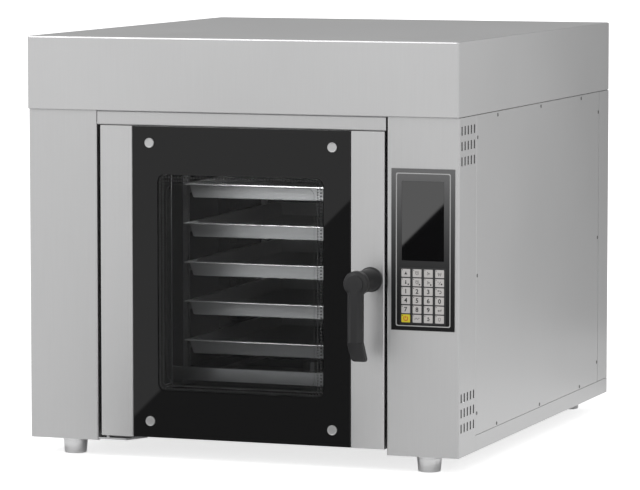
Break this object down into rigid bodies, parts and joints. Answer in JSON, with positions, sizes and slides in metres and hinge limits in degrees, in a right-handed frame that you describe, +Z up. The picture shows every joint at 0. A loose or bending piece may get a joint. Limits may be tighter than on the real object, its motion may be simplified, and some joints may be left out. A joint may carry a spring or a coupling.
{
  "type": "rotating rack oven",
  "caption": "Free-standing bakery oven with a glazed side-hung door, a rack of trays that turns in a hot-air chamber, and a key panel.",
  "frame": {"origin": "floor point under the middle of the oven's outline, handle and cable gland included", "axes": "+X to the right seen from the front, +Y from the door to the back, +Z up"},
  "size_m": [1, 1.3018, 0.931],
  "materials": {
    "casing_steel": "satin brushed sheet",
    "bright_steel": "bright polished",
    "liner_steel": "smooth, heat-darkened",
    "plain_steel": "plain mill finish",
    "black_glass": "glossy, black printed border",
    "clear_glass": "clear, smooth",
    "black_plastic": "fine matt moulding",
    "panel_black": "smooth dark foil",
    "key_grey": "printed membrane",
    "seal_rubber": "matt silicone",
    "mineral_wool": "felted slab",
    "motor_paint": "semi-matt grey paint"
  },
  "bodies": {
    "cabinet": {"base_frame": "plain_steel", "front_left_foot": "bright_steel", "front_right_foot": "bright_steel", "rear_left_foot": "bright_steel", "rear_right_foot": "bright_steel", "left_front_panel": "casing_steel", "right_front_panel": "casing_steel", "left_side_panel": "casing_steel", "right_side_panel": "casing_steel", "back_panel": "casing_steel", "cable_gland": "black_plastic", "hood": "casing_steel", "roof_deck": "plain_steel", "header_strip": "casing_steel", "door_sill": "plain_steel", "lower_hinge_bracket": "bright_steel", "upper_hinge_bracket": "bright_steel", "upper_hinge_pin": "bright_steel", "front_frame": "liner_steel", "latch_keeper": "bright_steel", "door_seal": "seal_rubber", "chamber_left_wall": "liner_steel", "chamber_right_wall": "liner_steel", "chamber_floor": "liner_steel", "chamber_roof": "liner_steel", "air_baffle": "liner_steel", "fan_housing": "liner_steel", "insulation_jacket": "mineral_wool", "chamber_lamp": "clear_glass", "fan_motor": "motor_paint", "heater_ring": "plain_steel", "rack_gearmotor": "motor_paint", "shaft_bearing": "plain_steel", "floor_pivot": "bright_steel", "control_panel": "panel_black", "display_window": "black_glass", "keypad": "key_grey"},
    "door": {"door_frame": "casing_steel", "door_inner_skin": "casing_steel", "outer_glass": "black_glass", "inner_glass": "clear_glass", "glass_cap_1": "bright_steel", "glass_cap_2": "bright_steel", "glass_cap_3": "bright_steel", "glass_cap_4": "bright_steel", "handle_hub": "black_plastic"},
    "handle": {"handle_lever": "black_plastic", "latch_spindle": "bright_steel", "latch_tongue": "bright_steel"},
    "rack": {"rack_base": "bright_steel", "rack_left_frame": "bright_steel", "rack_right_frame": "bright_steel", "rack_top_tie": "bright_steel", "drive_shaft": "bright_steel"},
    "baking_tray_1": {"tray_1": "bright_steel"},
    "baking_tray_2": {"tray_2": "bright_steel"},
    "baking_tray_3": {"tray_3": "bright_steel"},
    "baking_tray_4": {"tray_4": "bright_steel"},
    "baking_tray_5": {"tray_5": "bright_steel"},
    "fan": {"fan_wheel": "plain_steel"}
  },
  "joints": [
    {"name": "door_hinge", "type": "hinge", "parent": "cabinet", "child": "door", "pos_m": [-0.3185, -0.52885, 0.05], "axis": [0, 0, -1], "range_deg": [0, 110]},
    {"name": "handle_turn", "type": "hinge", "parent": "door", "child": "handle", "pos_m": [0.3, -0.54085, 0.418], "axis": [0, 1, 0], "range_deg": [0, 90]},
    {"name": "rack_turn", "type": "hinge", "parent": "cabinet", "child": "rack", "pos_m": [0, -0.07185, 0.121], "axis": [0, 0, 1], "continuous": true},
    {"name": "fan_spin", "type": "hinge", "parent": "cabinet", "child": "fan", "pos_m": [0, 0.32655, 0.4225], "axis": [0, 1, 0], "continuous": true},
    {"name": "tray_1_slide", "type": "slide", "parent": "rack", "child": "baking_tray_1", "axis": [0, -1, 0], "range_m": [0, 0.08]},
    {"name": "tray_2_slide", "type": "slide", "parent": "rack", "child": "baking_tray_2", "axis": [0, -1, 0], "range_m": [0, 0.08]},
    {"name": "tray_3_slide", "type": "slide", "parent": "rack", "child": "baking_tray_3", "axis": [0, -1, 0], "range_m": [0, 0.08]},
    {"name": "tray_4_slide", "type": "slide", "parent": "rack", "child": "baking_tray_4", "axis": [0, -1, 0], "range_m": [0, 0.08]},
    {"name": "tray_5_slide", "type": "slide", "parent": "rack", "child": "baking_tray_5", "axis": [0, -1, 0], "range_m": [0, 0.08]}
  ]
}
